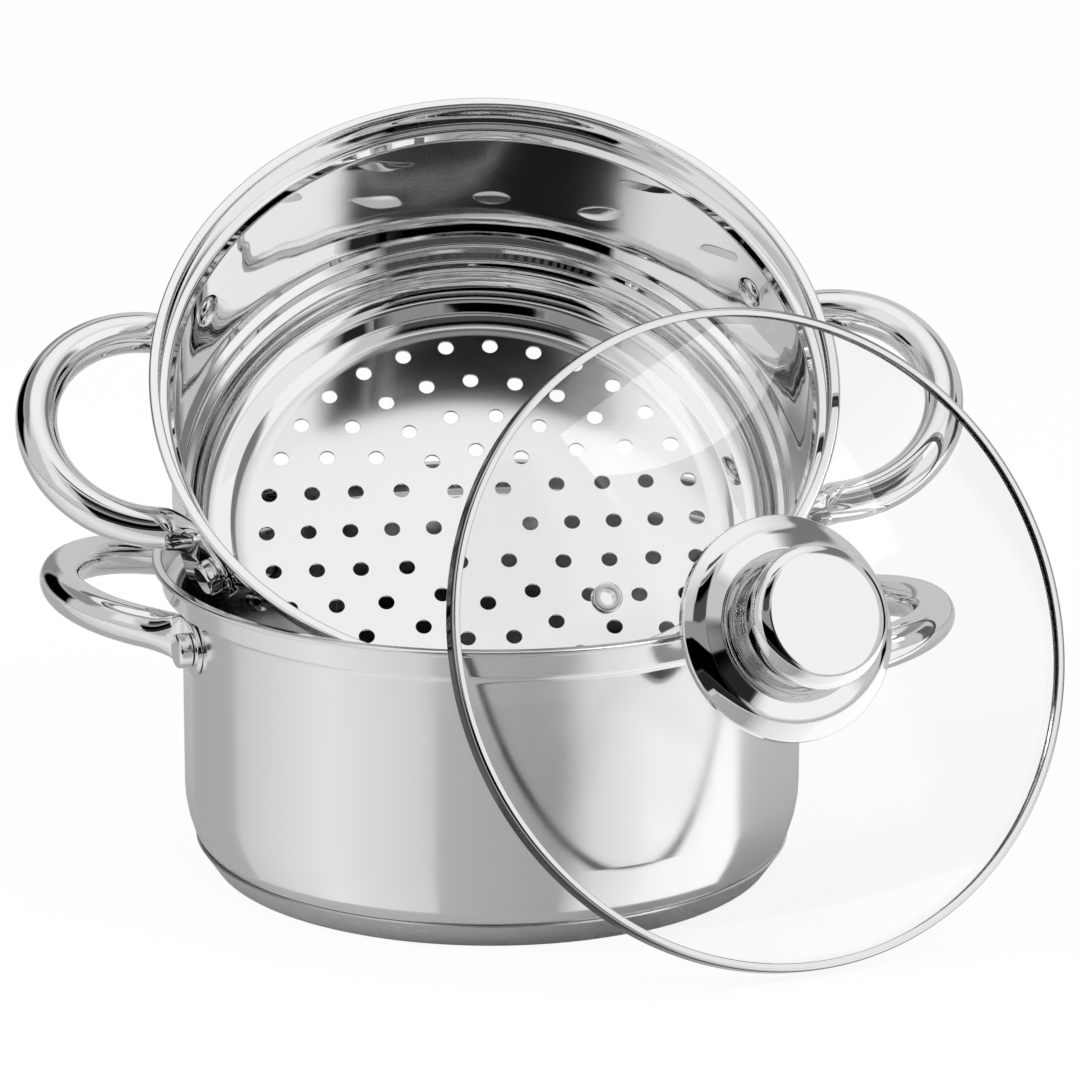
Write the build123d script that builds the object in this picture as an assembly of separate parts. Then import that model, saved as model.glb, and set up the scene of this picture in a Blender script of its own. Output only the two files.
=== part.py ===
from build123d import *
import math
import os

os.makedirs("parts", exist_ok=True)

# Sizes in millimetres, angles in degrees. The frame's origin is the centre of the pot's
# underside, Z is up, and the pot's two handles lie along X.

# Clearances
seat_gap = 0.1            # pieces of one body lie this close
pin_gap = 0.1             # play of a rivet or screw in its hole
floor_gap = 0.1           # the lid's rim stands this far above the table
lean_gap = 0.3            # steamer and lid lean this close to the pot's lip
past = 20.0               # how far a cutting tool runs past a face
fillet_room_share = 0.98  # of a side, for the fillets at its two ends

# Sheet and rolled lip, alike on both vessels
sheet = 0.8
lip_wide = 3.6
lip_tall = 2.2
lip_round = 0.9
lip_foot = 0.8            # how far the sheet's end reaches up into the lip
band_lean = 0.9           # the band under the lip widens this much upward
band_step = 6.7           # the band stands this far outside the pot's wall

# Pot
body_r = 107.0            # outside of the pot's wall
pot_tall = 109.4
base_tall = 6.2           # underside of the pot's own floor
heel_in = 6.0             # the floor turns up this far inside the wall
heel_round = 4.8
flank_tall = 12.0         # from the floor to where the flank would meet the wall
flank_round = 43.0
neck_drop = 16.6          # the wall steps out above this, measured from the top
neck_round = 3.0
shelf_drop = 10.5
shelf_round = 1.3

# Thick base under the pot
cap_foot_in = 9.7         # its foot lies this far inside the wall
cap_tall = 8.8
cap_foot_round = 1.4
cap_gap = 0.15            # between the cap's edge and the flank
core_in = 4.3             # the disc inside ends this far from the foot

# Steamer, measured down from the middle of its lip
steam_lip_up = 0.7        # the lip's top lies above that
steam_deep = 96.7         # underside of the pierced floor
steam_step = 2.7          # its wall stands outside the pot's
spigot_gap = 3.0          # the foot that drops into the pot clears its wall
spigot_lean = 0.5
spigot_tall = 19.8
spigot_round = 5.7
foot_rise = 1.6           # the foot's underside lies above the pierced floor
foot_flat = 0.3           # flat foot between its round edge and the raised ring
ring_rise = 2.9
ring_wide = 8.3
dish_wall = 4.5
dish_round = 3.0
step_out = 3.2            # two small steps between foot and wall
step_low_tall = 0.8
step_mid_tall = 2.1
step_high_tall = 0.9
step_round = 0.9
ledge_step = 1.6          # ledge that carries the lid
ledge_low_drop = 13.6
ledge_drop = 10.9
ledge_out_drop = 10.5
ledge_wall_in = 0.3
ledge_round = 1.0

# Holes in the steamer's floor: six in the first ring and six more in each ring outward
hole_rings = 5
holes_first = 6
hole_r = 2.8
first_ring_r = 17.2
hole_margin = 7.5         # outermost hole centres to the floor's edge

# Loop handles, four alike
tube_r = 7.1
bow_r = 39.6              # centre line of the loop's round end
bow_out = 7.0             # where the round end starts, out from the vessel's wall
rise_deg = 9.7            # the loop rises outward
arm_out = 5.0             # the round tube ends here and starts to flatten
arm_lap = 1.0             # the flattened end starts this far inside the tube
arm_step = 0.2            # and this much smaller
bend_reach = 5.9          # along the wall from the tube's middle to the flat end
plate_t = 3.0
plate_tall = 18.0
plate_lap = 0.9           # the bend runs this far into the flat end
plate_drop = 0.8          # the pot's flat ends stay this far below its neck
pot_loop_up = 1.5         # loop's middle above the rivets, where it meets the wall
steam_loop_up = 6.5
steam_rivet_drop = 32.5
rivet_deg = 31.0          # rivets to each side of the loop's middle
flatten_shares = [0, 0.25, 0.5, 0.75, 1]

# Rivets
shank_r = 2.4
drum_r = 6.0
drum_tall = 5.6
drum_round = 1.3
collar_r = 7.2
collar_tall = 1.2
dome_r = 4.7              # head inside the vessel
dome_tall = 1.7

# Lid, measured from the middle plane of its rim
lid_gap = 1.8             # it drops inside the lip with this much play
rim_t = 0.7
rim_tall = 6.4
rim_wrap = 1.9            # the rim folds this far over the glass
glass_gap = 0.3           # between the glass's edge and the rim
glass_t = 4.0
glass_swell = 17.7        # the dome rises this much
glass_bore_gap = 1.3      # the knob's screw passes with this much room

# Steam vent
vent_at_r = 61.9
vent_hole_r = 2.65
vent_wall = 0.45
vent_play = 0.2
vent_flange_wide = 2.25
vent_flange_t = 0.8

# Knob
plate_r = 38.0
plate_edge = 2.6
plate_round = 1.1
plate_hub_up = 6.3        # top of the dished plate above the glass
pad_in = 2.5              # the pad lies this far inside the plate's edge
pad_wide = 7.5
pad_t = 1.0
collar_big_r = 25.6
collar_big_tall = 2.0
collar_small_in = 2.2
collar_small_tall = 1.2
collar_edge = 0.5
waist_foot_in = 1.4
waist_r = 15.2
waist_low_up = 8.0        # narrowest place above the plate's hub
waist_top_up = 14.8
knob_cap_r = 24.3
cap_seat_in = 5.3         # the neck's top is this much smaller than the cap
cap_low_in = 2.7
cap_low_up = 0.6
cap_wide_up = 5.2
cap_top_in = 4.9
cap_top_up = 10.0
screw_r = 2.9
screw_up = 10.4           # its end above the plate's hub
screw_room = 1.0
screw_head_r = 5.2
screw_head_t = 2.6
screw_slot = 1.2
washer_r = 9.0
washer_t = 1.0

# The steamer leans in the pot: centre of its rim, and how it is turned
steam_x = 3.85
steam_y = -14.4
steam_azimuth = -75.2
steam_tilt = 42.1
steam_spin = 91.2

# The lid stands on its rim and leans on the pot at this bearing
lid_bearing = -30.6
lid_azimuth = -54.9
lid_tilt = 64.9
lid_spin = -107.5

# Steps of the search for the two leaning places, and points tried round the lip
seat_steps = 24
lip_spots = 360

# Radii and heights that follow
shelf_r = body_r + band_step
band_r = shelf_r + band_lean
lip_in_r = shelf_r
lip_out_r = lip_in_r + lip_wide
heel_r = body_r - heel_in
neck_z = pot_tall - neck_drop
pot_rivet_z = neck_z - plate_drop - plate_tall / 2
steam_wall_r = body_r + steam_step
spigot_r = body_r - sheet - spigot_gap
foot_drop = steam_deep - foot_rise
shank_hole_r = shank_r + pin_gap
lid_r = lip_in_r - lid_gap
rim_low = -rim_tall / 2
glass_edge_r = lid_r - rim_t - glass_gap
rim_in_r = glass_edge_r - rim_wrap
glass_edge_z = rim_low + rim_t + seat_gap + glass_t
glass_peak_z = glass_edge_z + glass_swell
glass_sphere_r = (glass_edge_r ** 2 + glass_swell ** 2) / (2 * glass_swell)


def point(r, z):
    return Vector(r, 0, z)


def shifted(points, by):
    """The line moved sideways by the given amount, to the left of its direction."""
    sides = []
    for a, b in zip(points, points[1:]):
        long = math.hypot(b[0] - a[0], b[1] - a[1])
        sides.append(((a[1] - b[1]) / long, (b[0] - a[0]) / long))
    moved = [(points[0][0] + sides[0][0] * by, points[0][1] + sides[0][1] * by)]
    for here, s, t in zip(points[1:-1], sides, sides[1:]):
        stretch = by / (1 + s[0] * t[0] + s[1] * t[1])
        moved.append((here[0] + (s[0] + t[0]) * stretch, here[1] + (s[1] + t[1]) * stretch))
    moved.append((points[-1][0] + sides[-1][0] * by, points[-1][1] + sides[-1][1] * by))
    return moved


def turns_left(a, b, c):
    return (b[0] - a[0]) * (c[1] - b[1]) - (b[1] - a[1]) * (c[0] - b[0]) > 0


def rounded(points, radii):
    """Edges along the points, each inner corner rounded by its radius, less where a side is short."""
    spots = [point(*p) for p in points]
    corners = []
    cuts = [0]
    for a, b, c, radius in zip(spots, spots[1:], spots[2:], radii):
        back = (a - b).normalized()
        on = (c - b).normalized()
        half = math.acos(back.dot(on)) / 2
        corners.append((b, back, on, half))
        cuts.append(radius / math.tan(half))
    cuts.append(0)
    fits = []
    for a, b, cut_a, cut_b in zip(spots, spots[1:], cuts, cuts[1:]):
        room = (b - a).length * fillet_room_share
        fits.append(room / max(room, cut_a + cut_b))
    edges = []
    start = spots[0]
    for (here, back, on, half), cut, before, after in zip(corners, cuts[1:], fits, fits[1:]):
        cut = cut * min(before, after)
        if cut > 0:
            radius = cut * math.tan(half)
            middle = here + (back + on).normalized() * (radius / math.sin(half) - radius)
            edges.append(Line(start, here + back * cut))
            edges.append(ThreePointArc(here + back * cut, middle, here + on * cut))
            start = here + on * cut
        else:
            edges.append(Line(start, here))
            start = here
    edges.append(Line(start, spots[-1]))
    return edges


def shell(points, radii, thick):
    """Sheet of even thickness turned round Z; the points are its outer side from the axis up."""
    inner = shifted(points, thick)
    inner_radii = []
    for a, b, c, radius in zip(points, points[1:], points[2:], radii):
        change = -thick if turns_left(a, b, c) else thick
        inner_radii.append(max(radius + change, 0) if radius > 0 else 0)
    outline = rounded(points, radii)
    outline.append(Line(point(*points[-1]), point(*inner[-1])))
    outline += rounded(inner[::-1], inner_radii[::-1])
    outline.append(Line(point(*inner[0]), point(*points[0])))
    return revolve(make_face(outline), Axis.Z)


def turned(points, radii=None):
    """Solid turned round Z from a closed outline."""
    loop = list(points) + [points[0]]
    return revolve(make_face(rounded(loop, radii or [0] * (len(loop) - 2))), Axis.Z)


def ring(inner, outer, low, high):
    return turned([(inner, low), (outer, low), (outer, high), (inner, high)])


def lip(top_z):
    face = Plane.XZ * Pos((lip_in_r + lip_out_r) / 2, top_z - lip_tall / 2) \
        * RectangleRounded(lip_wide, lip_tall, lip_round)
    return revolve(face, Axis.Z)


def on_wall(r, angle, z):
    """Axes whose Z runs outward through the wall at the given bearing."""
    a = math.radians(angle)
    outward = Vector(math.cos(a), math.sin(a), 0)
    return Plane(outward * r + Vector(0, 0, z), x_dir=(0, 0, 1), z_dir=outward)


def handle(wall_r, loop_up, rivet_z):
    """Tube bent to a loop toward +X, its ends pressed flat and turned outward along the wall."""
    rise = math.tan(math.radians(rise_deg))
    arm_x = wall_r + arm_out
    bow_x = wall_r + bow_out

    def at(x, y):
        return Vector(x, y, rivet_z + loop_up + (x - wall_r) * rise)

    tip = at(bow_x + bow_r * math.cos(math.radians(rise_deg)), 0)
    path = [Line(at(arm_x, -bow_r), at(bow_x, -bow_r)),
            ThreePointArc(at(bow_x, -bow_r), tip, at(bow_x, bow_r)),
            Line(at(bow_x, bow_r), at(arm_x, bow_r))]
    along = Vector(1, 0, rise)
    bow = sweep(Plane(at(arm_x, -bow_r), x_dir=(0, 1, 0), z_dir=along) * Circle(tube_r), Wire(path))

    low_r = wall_r + seat_gap
    mid_r = low_r + plate_t / 2
    leaf_from = math.asin(bow_r / mid_r) + bend_reach / mid_r
    turn = leaf_from + plate_lap / mid_r
    goal = Vector(mid_r * math.cos(turn), mid_r * math.sin(turn), rivet_z)
    ease = (goal.Y - bow_r) / math.cos(turn)
    bend = Vector(goal.X + ease * math.sin(turn), bow_r, rivet_z)
    start = at(arm_x + arm_lap, bow_r)
    sections = []
    for share in flatten_shares:
        centre = start * (1 - share) ** 2 + bend * (2 * share * (1 - share)) + goal * share ** 2
        way = (bend - start) * (1 - share) + (goal - bend) * share
        if share == 0:
            way = along * -1
        flat = 1 - (1 - share) ** 2
        across = tube_r + (plate_t / 2 - tube_r) * flat - arm_step
        tall = tube_r + (plate_tall / 2 - tube_r) * flat - arm_step
        side = Vector(0, 0, 1).cross(way).normalized()
        sections.append(Plane(centre, x_dir=side, z_dir=way) * Ellipse(across, tall))
    neck = loft(sections)

    hold = on_wall(0, rivet_deg, rivet_z)
    reach = mid_r * (math.radians(rivet_deg) - leaf_from)
    outline = Pos(0, reach / 2) * Rectangle(plate_tall, reach) + Circle(plate_tall / 2)
    sleeve = ring(low_r, low_r + plate_t, rivet_z - past, rivet_z + past)
    leaf = extrude(hold * outline, wall_r + past) & sleeve
    leaf -= hold * Cylinder(shank_hole_r, wall_r + past, align=(Align.CENTER, Align.CENTER, Align.MIN))
    end = neck + leaf
    return bow + end + mirror(end, Plane.XZ)


def rivet(wall_r, angle, z):
    """Round drum outside the handle's flat end, low dome inside the wall."""
    seat = wall_r + seat_gap + plate_t + seat_gap
    inside = wall_r - sheet - seat_gap
    grip = seat - inside
    low = point(dome_r, 0)
    crown = point(dome_r / math.sqrt(2), -dome_tall / math.sqrt(2))
    outline = [ThreePointArc(point(0, -dome_tall), crown, low)]
    outline += rounded([(dome_r, 0), (shank_r, 0), (shank_r, grip), (collar_r, grip),
                        (collar_r, grip + collar_tall), (drum_r, grip + collar_tall),
                        (drum_r, grip + drum_tall), (0, grip + drum_tall), (0, -dome_tall)],
                       [0, 0, collar_tall / 3, collar_tall / 3, 0, drum_round, 0])
    return on_wall(inside, angle, z) * revolve(make_face(outline), Axis.Z)


def pierced(vessel, wall_r, z):
    """The vessel with its four rivet holes."""
    for angle in rivet_angles:
        vessel -= on_wall(wall_r, angle, z) * Cylinder(shank_hole_r, past)
    return vessel


def corner_gap(across, along, radius):
    """Distance to a rounded corner from a point this far past its arc's centre each way."""
    return math.hypot(max(across, 0), max(along, 0)) + min(max(across, along), 0) - radius


def leant(turn, start, way, longest, gap_at):
    """The start moved along the way until the piece comes within lean_gap of the pot's lip."""
    core = []
    for r in (lip_in_r + lip_round, lip_out_r - lip_round):
        for z in (pot_tall - lip_round, pot_tall - lip_tall + lip_round):
            for spot in range(lip_spots):
                bearing = math.radians(360 * spot / lip_spots)
                core.append(Vector(r * math.cos(bearing), r * math.sin(bearing), z))
    axes = Plane(turn)
    clear = 0
    close = longest
    for step in range(seat_steps):
        move = (clear + close) / 2
        gaps = []
        for spot in core:
            off = spot - start - way * move
            gaps.append(gap_at(math.hypot(off.dot(axes.x_dir), off.dot(axes.y_dir)), off.dot(axes.z_dir)))
        if min(gaps) - lip_round > lean_gap:
            clear = move
        else:
            close = move
    return start + way * clear


rivet_angles = [rivet_deg, 180 - rivet_deg, 180 + rivet_deg, 360 - rivet_deg]
rivet_names = ["right_rear", "left_rear", "left_front", "right_front"]

# Pot: one pressed sheet from the floor up to the rolled lip
pot_line = [(0, base_tall), (heel_r, base_tall), (body_r, base_tall + flank_tall), (body_r, neck_z),
            (shelf_r, pot_tall - shelf_drop), (band_r, pot_tall - lip_tall + lip_foot)]
pot_body = shell(pot_line, [heel_round, flank_round, neck_round, shelf_round], sheet) + lip(pot_tall)
pot_body = pierced(pot_body, body_r, pot_rivet_z)

# Base: a steel cup closed over an aluminium disc
flank_lean = heel_in / flank_tall
flank_out = (cap_gap + sheet) * math.hypot(1, flank_lean)
cap_foot_r = body_r - cap_foot_in
cap_top_r = heel_r + (cap_tall - base_tall) * flank_lean + flank_out
base_capsule = shell([(0, 0), (cap_foot_r, 0), (cap_top_r, cap_tall)], [cap_foot_round], sheet)
base_core = ring(0, cap_foot_r - core_in, sheet, base_tall)

# Steamer in its own frame: axis along Z, middle of its lip at zero
ring_out_r = spigot_r - spigot_lean - spigot_round - foot_flat
ring_in_r = ring_out_r - ring_wide
dish_r = ring_in_r - dish_wall
step_low_drop = foot_drop - spigot_tall
step_mid_drop = step_low_drop - step_low_tall
step_high_drop = step_mid_drop - step_mid_tall
step_r = spigot_r + step_out
steam_line = [(0, -steam_deep), (dish_r, -steam_deep), (ring_in_r, -steam_deep + ring_rise),
              (ring_out_r, -foot_drop), (spigot_r - spigot_lean, -foot_drop), (spigot_r, -step_low_drop),
              (step_r, -step_mid_drop), (step_r, -step_high_drop),
              (steam_wall_r, -step_high_drop + step_high_tall),
              (steam_wall_r, -ledge_low_drop), (steam_wall_r + ledge_step, -ledge_drop),
              (band_r - ledge_wall_in, -ledge_out_drop), (band_r, steam_lip_up - lip_tall + lip_foot)]
steam_rounds = [dish_round, dish_round, 0, spigot_round, step_round, step_round, step_round,
                step_round, ledge_round, ledge_round, ledge_round]
steamer_body = shell(steam_line, steam_rounds, sheet) + lip(steam_lip_up)
steamer_body = pierced(steamer_body, steam_wall_r, -steam_rivet_drop)
ring_step = (dish_r - hole_margin - first_ring_r) / (hole_rings - 1)
drills = []
for row in range(hole_rings):
    count = holes_first * (row + 1)
    far = first_ring_r + ring_step * row
    for spot in range(count):
        bearing = math.radians(360 * spot / count)
        drills.append(Pos(far * math.cos(bearing), far * math.sin(bearing), -steam_deep)
                      * Cylinder(hole_r, past))
steamer_body = steamer_body - drills

# Lid in its own frame: axis along Z, middle of the rim at zero


def glass_z(r):
    """Height of the glass's outer side above the rim's middle plane."""
    return glass_peak_z - glass_sphere_r + math.sqrt(glass_sphere_r ** 2 - r ** 2)


def glass_arc(a, b, drop):
    middle = (a + b) / 2
    return ThreePointArc(point(a, glass_z(a) - drop), point(middle, glass_z(middle) - drop),
                         point(b, glass_z(b) - drop))


vent_lean = math.degrees(math.asin(vent_at_r / glass_sphere_r))
vent_frame = Pos(vent_at_r, 0, glass_z(vent_at_r)) * Rot(0, vent_lean, 0)
vent_tube_r = vent_hole_r + vent_wall
glass_bore_r = screw_r + glass_bore_gap
lid_glass = revolve(make_face([
    glass_arc(glass_bore_r, glass_edge_r, 0),
    Line(point(glass_edge_r, glass_z(glass_edge_r)), point(glass_edge_r, glass_z(glass_edge_r) - glass_t)),
    glass_arc(glass_edge_r, glass_bore_r, glass_t),
    Line(point(glass_bore_r, glass_z(glass_bore_r) - glass_t), point(glass_bore_r, glass_z(glass_bore_r)))]),
    Axis.Z)
lid_glass -= vent_frame * Cylinder(vent_tube_r + vent_play, past)
rim_top = rim_low + rim_tall
lid_rim = turned([(rim_in_r, rim_top), (rim_in_r, rim_top - rim_t), (lid_r - rim_t, rim_top - rim_t),
                  (lid_r - rim_t, rim_low + rim_t), (rim_in_r, rim_low + rim_t), (rim_in_r, rim_low),
                  (lid_r, rim_low), (lid_r, rim_top)], [0, 0, 0, 0, 0, rim_t / 2, rim_t / 2])
vent_flange_r = vent_hole_r + vent_flange_wide
vent_top = seat_gap + vent_flange_t
vent_foot = -glass_t - seat_gap
vent_eyelet = vent_frame * turned(
    [(vent_hole_r, vent_top), (vent_hole_r, vent_foot - vent_flange_t),
     (vent_flange_r, vent_foot - vent_flange_t), (vent_flange_r, vent_foot), (vent_tube_r, vent_foot),
     (vent_tube_r, seat_gap), (vent_flange_r, seat_gap), (vent_flange_r, vent_top)],
    [0, vent_flange_t / 3, 0, 0, 0, 0, vent_flange_t / 3])

# Knob: dished plate on a pad, stepped neck, mushroom cap, held from below by one screw
pad_out_r = plate_r - pad_in
pad_in_r = pad_out_r - pad_wide
knob_pad = revolve(make_face([
    glass_arc(pad_in_r, pad_out_r, -seat_gap),
    Line(point(pad_out_r, glass_z(pad_out_r) + seat_gap), point(pad_out_r, glass_z(pad_out_r) + pad_t)),
    glass_arc(pad_out_r, pad_in_r, -pad_t),
    Line(point(pad_in_r, glass_z(pad_in_r) + pad_t), point(pad_in_r, glass_z(pad_in_r) + seat_gap))]), Axis.Z)
screw_bore_r = screw_r + pin_gap
hub_z = glass_peak_z + plate_hub_up
plate_up = pad_t + seat_gap
plate_top = [(plate_r, glass_z(plate_r) + plate_up), (plate_r, glass_z(plate_r) + plate_up + plate_edge),
             (collar_big_r + collar_edge, hub_z), (screw_bore_r, hub_z),
             (screw_bore_r, glass_z(screw_bore_r) + plate_up)]
knob_plate = revolve(make_face([glass_arc(screw_bore_r, plate_r, -plate_up)]
                               + rounded(plate_top, [plate_round, 0, 0])), Axis.Z)
neck_low = hub_z + seat_gap
step_one = neck_low + collar_big_tall
step_two = step_one + collar_small_tall
neck_top = hub_z + waist_top_up
collar_small_r = collar_big_r - collar_small_in
cap_low_r = knob_cap_r - cap_low_in
neck_top_r = knob_cap_r - cap_seat_in
bore_top = hub_z + screw_up + screw_room
knob_neck = revolve(make_face([
    Line(point(screw_bore_r, neck_low), point(collar_big_r, neck_low)),
    Line(point(collar_big_r, neck_low), point(collar_big_r, step_one - collar_edge)),
    Line(point(collar_big_r, step_one - collar_edge), point(collar_big_r - collar_edge, step_one)),
    Line(point(collar_big_r - collar_edge, step_one), point(collar_small_r, step_one)),
    Line(point(collar_small_r, step_one), point(collar_small_r, step_two)),
    Line(point(collar_small_r, step_two), point(collar_small_r - waist_foot_in, step_two)),
    ThreePointArc(point(collar_small_r - waist_foot_in, step_two), point(waist_r, hub_z + waist_low_up),
                  point(neck_top_r, neck_top)),
    Line(point(neck_top_r, neck_top), point(0, neck_top)),
    Line(point(0, neck_top), point(0, bore_top)),
    Line(point(0, bore_top), point(screw_bore_r, bore_top)),
    Line(point(screw_bore_r, bore_top), point(screw_bore_r, neck_low))]), Axis.Z)
cap_foot = neck_top + seat_gap
cap_low = point(cap_low_r, neck_top + cap_low_up)
cap_top = point(knob_cap_r - cap_top_in, neck_top + cap_top_up)
knob_cap = revolve(make_face([
    Line(point(0, cap_foot), point(neck_top_r, cap_foot)),
    Line(point(neck_top_r, cap_foot), cap_low),
    Spline(cap_low, point(knob_cap_r, neck_top + cap_wide_up), cap_top, tangents=[(1, 0, 0.6), (-1, 0, 0)]),
    Line(cap_top, point(0, cap_top.Z)),
    Line(point(0, cap_top.Z), point(0, cap_foot))]), Axis.Z)
under = glass_z(washer_r) - glass_t - seat_gap
knob_washer = ring(screw_bore_r, washer_r, under - washer_t, under)
head_top = under - washer_t - seat_gap
head_low = head_top - screw_head_t
knob_screw = Pos(0, 0, head_top) * Cylinder(screw_r, hub_z + screw_up - head_top,
                                            align=(Align.CENTER, Align.CENTER, Align.MIN))
knob_screw += turned([(0, head_low), (screw_head_r, head_low), (screw_head_r, head_top), (0, head_top)],
                     [screw_head_t / 3, 0, 0])
knob_screw -= Pos(0, 0, head_low) * Box(past, screw_slot, screw_head_t)


def steamer_gap(r, z):
    """From a point of the steamer's own frame to the rounded edge of its foot."""
    centre_r = spigot_r - spigot_lean * (1 - spigot_round / spigot_tall) - spigot_round
    return corner_gap(r - centre_r, spigot_round - foot_drop - z, spigot_round)


def lid_underside_gap(r, z):
    """From a point of the lid's own frame, under the glass, to the glass or the rim."""
    rim_gap = corner_gap(abs(r - (rim_in_r + lid_r) / 2) - (lid_r - rim_in_r) / 2, abs(z) - rim_tall / 2, 0)
    if r > rim_in_r:
        return rim_gap
    below_centre = z - glass_peak_z + glass_sphere_r
    return min(rim_gap, glass_sphere_r - glass_t - math.hypot(r, below_centre))


# Places of the three bodies
steam_turn = Rot(0, 0, steam_azimuth) * Rot(0, steam_tilt, 0) * Rot(0, 0, steam_spin)
above = Vector(steam_x, steam_y, pot_tall + steam_deep)
steam_place = Pos(leant(steam_turn, above, Vector(0, 0, -1), steam_deep, steamer_gap)) * steam_turn
lean = math.radians(lid_tilt)
lid_turn = Rot(0, 0, lid_azimuth) * Rot(0, lid_tilt, 0) * Rot(0, 0, lid_spin)
outward = Vector(math.cos(math.radians(lid_bearing)), math.sin(math.radians(lid_bearing)), 0)
beside = outward * (2 * lid_r) + Vector(0, 0, floor_gap + lid_r * math.sin(lean) - rim_low * math.cos(lean))
lid_place = Pos(leant(lid_turn, beside, outward * -1, lid_r, lid_underside_gap)) * lid_turn
about = Rot(0, 0, 180)

nodes = {"pot_body": pot_body, "base_capsule": base_capsule, "base_core": base_core}
pot_handle = handle(body_r, pot_loop_up, pot_rivet_z)
nodes["pot_handle_right"] = pot_handle
nodes["pot_handle_left"] = about * pot_handle
steam_handle = handle(steam_wall_r, steam_loop_up, -steam_rivet_drop)
nodes["steamer_body"] = steam_place * steamer_body
nodes["steamer_handle_right"] = steam_place * steam_handle
nodes["steamer_handle_left"] = steam_place * (about * steam_handle)
for name, angle in zip(rivet_names, rivet_angles):
    nodes["pot_rivet_" + name] = rivet(body_r, angle, pot_rivet_z)
    nodes["steamer_rivet_" + name] = steam_place * rivet(steam_wall_r, angle, -steam_rivet_drop)
lid_nodes = {"lid_glass": lid_glass, "lid_rim": lid_rim, "vent_eyelet": vent_eyelet,
             "knob_pad": knob_pad, "knob_plate": knob_plate, "knob_neck": knob_neck,
             "knob_cap": knob_cap, "knob_washer": knob_washer, "knob_screw": knob_screw}
for name, piece in lid_nodes.items():
    nodes[name] = lid_place * piece

print("steamer's rim centre", steam_place.position, "lid's centre", lid_place.position)
for name, piece in nodes.items():
    export_step(piece, os.path.join("parts", name + ".step"))
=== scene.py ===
import math
import bmesh
import bpy
from mathutils import Matrix, Vector


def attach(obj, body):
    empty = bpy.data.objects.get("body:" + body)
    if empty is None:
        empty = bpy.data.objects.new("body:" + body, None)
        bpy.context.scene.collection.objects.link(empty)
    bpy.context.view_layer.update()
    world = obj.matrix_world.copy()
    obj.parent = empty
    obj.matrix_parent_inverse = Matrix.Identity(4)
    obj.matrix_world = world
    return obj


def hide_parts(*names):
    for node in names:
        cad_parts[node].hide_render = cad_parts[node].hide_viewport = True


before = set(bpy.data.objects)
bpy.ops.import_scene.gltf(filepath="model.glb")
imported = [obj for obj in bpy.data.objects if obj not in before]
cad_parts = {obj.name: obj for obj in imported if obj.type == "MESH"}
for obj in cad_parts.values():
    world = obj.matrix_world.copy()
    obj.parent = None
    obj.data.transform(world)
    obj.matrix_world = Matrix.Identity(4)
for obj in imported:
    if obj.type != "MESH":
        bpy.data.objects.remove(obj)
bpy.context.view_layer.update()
scene = bpy.context.scene
mm = 0.001
print("frame loaded:", len(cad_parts), "nodes")

# where the three bodies stand, in millimetres and degrees, as in the frame
places = {
    "steamerCentre": (3.85, -14.4, 175.012),
    "steamerTurns": (-75.2, 42.1, 91.2),
    "lidCentre": (103.583, -61.259, 102.791),
    "lidTurns": (-54.9, 64.9, -107.5),
}


def standing(centre, turns):
    turned = Matrix.Identity(4)
    for angle, axis in zip(turns, "ZYZ"):
        turned = turned @ Matrix.Rotation(math.radians(angle), 4, axis)
    return Matrix.Translation(Vector(centre) * mm) @ turned @ Matrix.Scale(mm, 4)


def axisOf(place):
    return (place.to_3x3() @ Vector((0, 0, 1))).normalized()


potPlace = Matrix.Scale(mm, 4)
steamerPlace = standing(places["steamerCentre"], places["steamerTurns"])
lidPlace = standing(places["lidCentre"], places["lidTurns"])

camera = {
    "at": (358.44, -1841.78, 665.73),    # in millimetres
    "forward": (-0.174813, 0.943207, -0.282491),
    "up": (-0.054213, 0.277253, 0.959266),
    "lens": 188.63,
    "sensor": 36.0,
    "clip": (0.1, 100),    # in metres
}


def makeCamera():
    data = bpy.data.cameras.new("camera")
    data.lens = camera["lens"]
    data.sensor_width = camera["sensor"]
    data.sensor_fit = "HORIZONTAL"
    data.clip_start, data.clip_end = camera["clip"]
    cam = bpy.data.objects.new("camera", data)
    back = -Vector(camera["forward"]).normalized()
    up = Vector(camera["up"]).normalized()
    side = up.cross(back)
    cam.matrix_world = Matrix.Translation(Vector(camera["at"]) * mm) @ Matrix((side, up, back)).transposed().to_4x4()
    scene.collection.objects.link(cam)
    scene.camera = cam


makeCamera()
print("camera set")

# materials

steelLook = {              # what a steel has where its own line below says nothing else
    "colour": (0.9, 0.9, 0.9, 1),
    "wave": 0.3,           # height of the soft unevenness of pressed sheet, in millimetres
    "waveScale": 14.0,
    "waveDetail": 1.5,
    "waveRough": 0.4,
    "around": 0.0,         # how far the polish lines stretch a reflection round the axis
    "grain": 0.02,         # strength of the polish lines
    "grainDeep": 0.02,     # their depth in millimetres
    "lines": (1, 1, 1),    # stretches them along an axis
    "scratchScale": 900.0,
    "scratchDetail": 3.0,
    "scratchRough": 0.6,
    "wipeScale": 38.0,
    "wipeDetail": 4.0,
    "wipeRough": 0.62,
    "wipeRange": (0.35, 0.7),    # of the noise, from least to most rough
    "plateFade": 1.5,      # millimetres above a flat plate in which the waves set in
    "crestRange": (0.5, 0.9),    # cosine to the axis of a fold's sides and of its crest
    "crestTone": (0.07, 0.82),   # painted shade greys there, dark on the sides as a stand-in for dark reflections and light on the crest
}
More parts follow.
